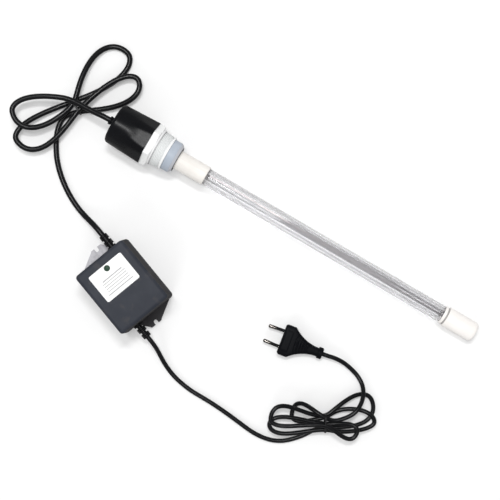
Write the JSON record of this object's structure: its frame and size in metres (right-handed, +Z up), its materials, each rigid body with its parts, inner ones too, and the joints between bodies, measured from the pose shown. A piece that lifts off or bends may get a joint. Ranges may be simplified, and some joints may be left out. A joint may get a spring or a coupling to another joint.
{
  "type": "submersible ultraviolet clarifier lamp",
  "caption": "Long clear ultraviolet tube lamp in a sealed threaded head with a rubber boot, wired to a box ballast with fixing ears and a moulded two-pin mains plug.",
  "frame": {"origin": "centre of the ballast box's underside, on the surface that everything lies on", "axes": "+X along the lamp from its rubber boot to its far cap, +Z up"},
  "size_m": [0.5769, 0.3053, 0.0528],
  "materials": {
    "boot_rubber": "satin",
    "head_plastic": "satin",
    "gasket_rubber": "matte",
    "seal_silicone": "satin",
    "socket_ceramic": "matte",
    "contact_metal": "bright",
    "potting_resin": "gloss",
    "wire_insulation": "satin",
    "mains_insulation": "satin",
    "base_ceramic": "satin",
    "cap_ceramic": "satin",
    "quartz_glass": "polished",
    "filament_metal": "dull",
    "wire_sleeve": "satin",
    "ballast_plastic": "fine texture",
    "screw_steel": "zinc plated",
    "label_film": "satin",
    "lens_green": "gloss",
    "diode_resin": "gloss",
    "board_laminate": "satin",
    "ferrite": "matte",
    "winding_copper": "lacquered",
    "capacitor_can": "sleeved",
    "film_box": "gloss",
    "package_resin": "matte",
    "fuse_glass": "polished",
    "terminal_plastic": "satin",
    "gland_rubber": "satin",
    "lead_jacket": "gloss",
    "mains_jacket": "gloss",
    "tie_plastic": "satin",
    "plug_rubber": "satin",
    "plug_plastic": "satin",
    "pin_nickel": "bright"
  },
  "bodies": {
    "root": {"ballast_base": "ballast_plastic", "ballast_cover": "ballast_plastic", "board_screws": "screw_steel", "bulk_capacitor": "capacitor_can", "choke_core": "ferrite", "choke_winding": "winding_copper", "circuit_board": "board_laminate", "cover_screws": "screw_steel", "film_capacitor": "film_box", "flange_gasket": "gasket_rubber", "fuse": "fuse_glass", "head_cord_end": "lead_jacket", "head_potting": "potting_resin", "head_wires": "wire_insulation", "indicator_diode": "diode_resin", "indicator_lens": "lens_green", "lamp_cord_cores": "wire_insulation", "lamp_cord_gland": "gland_rubber", "lamp_lead_a": "lead_jacket", "lamp_lead_b": "lead_jacket", "lamp_lead_hank": "lead_jacket", "lamp_lead_tie": "tie_plastic", "lamp_socket": "socket_ceramic", "lamp_terminals": "terminal_plastic", "mains_cord_cores": "mains_insulation", "mains_cord_gland": "gland_rubber", "mains_lead_a": "mains_jacket", "mains_lead_b": "mains_jacket", "mains_lead_hank": "mains_jacket", "mains_lead_tie": "tie_plastic", "mains_terminals": "terminal_plastic", "pin_sleeves": "plug_plastic", "plug_body": "plug_rubber", "plug_bridge": "plug_plastic", "plug_pins": "pin_nickel", "power_transistors": "package_resin", "rating_label": "label_film", "rectifier_diodes": "package_resin", "rubber_boot": "boot_rubber", "socket_contacts": "contact_metal", "threaded_plug": "head_plastic"},
    "lamp": {"lamp_base": "base_ceramic", "base_pins": "contact_metal", "quartz_tube": "quartz_glass", "near_stem": "quartz_glass", "far_stem": "quartz_glass", "near_filament": "filament_metal", "far_filament": "filament_metal", "return_wire": "wire_sleeve", "far_collar": "cap_ceramic", "far_cap": "cap_ceramic"},
    "seal": {"cone_seal": "seal_silicone"}
  },
  "joints": [
    {"name": "lamp_pull", "type": "slide", "parent": "root", "child": "lamp", "axis": [0.9996, 0, -0.0286], "range_m": [0, 0.02]},
    {"name": "seal_pull", "type": "slide", "parent": "root", "child": "seal", "axis": [0.9996, 0, -0.0286], "range_m": [0, 0.025]}
  ]
}
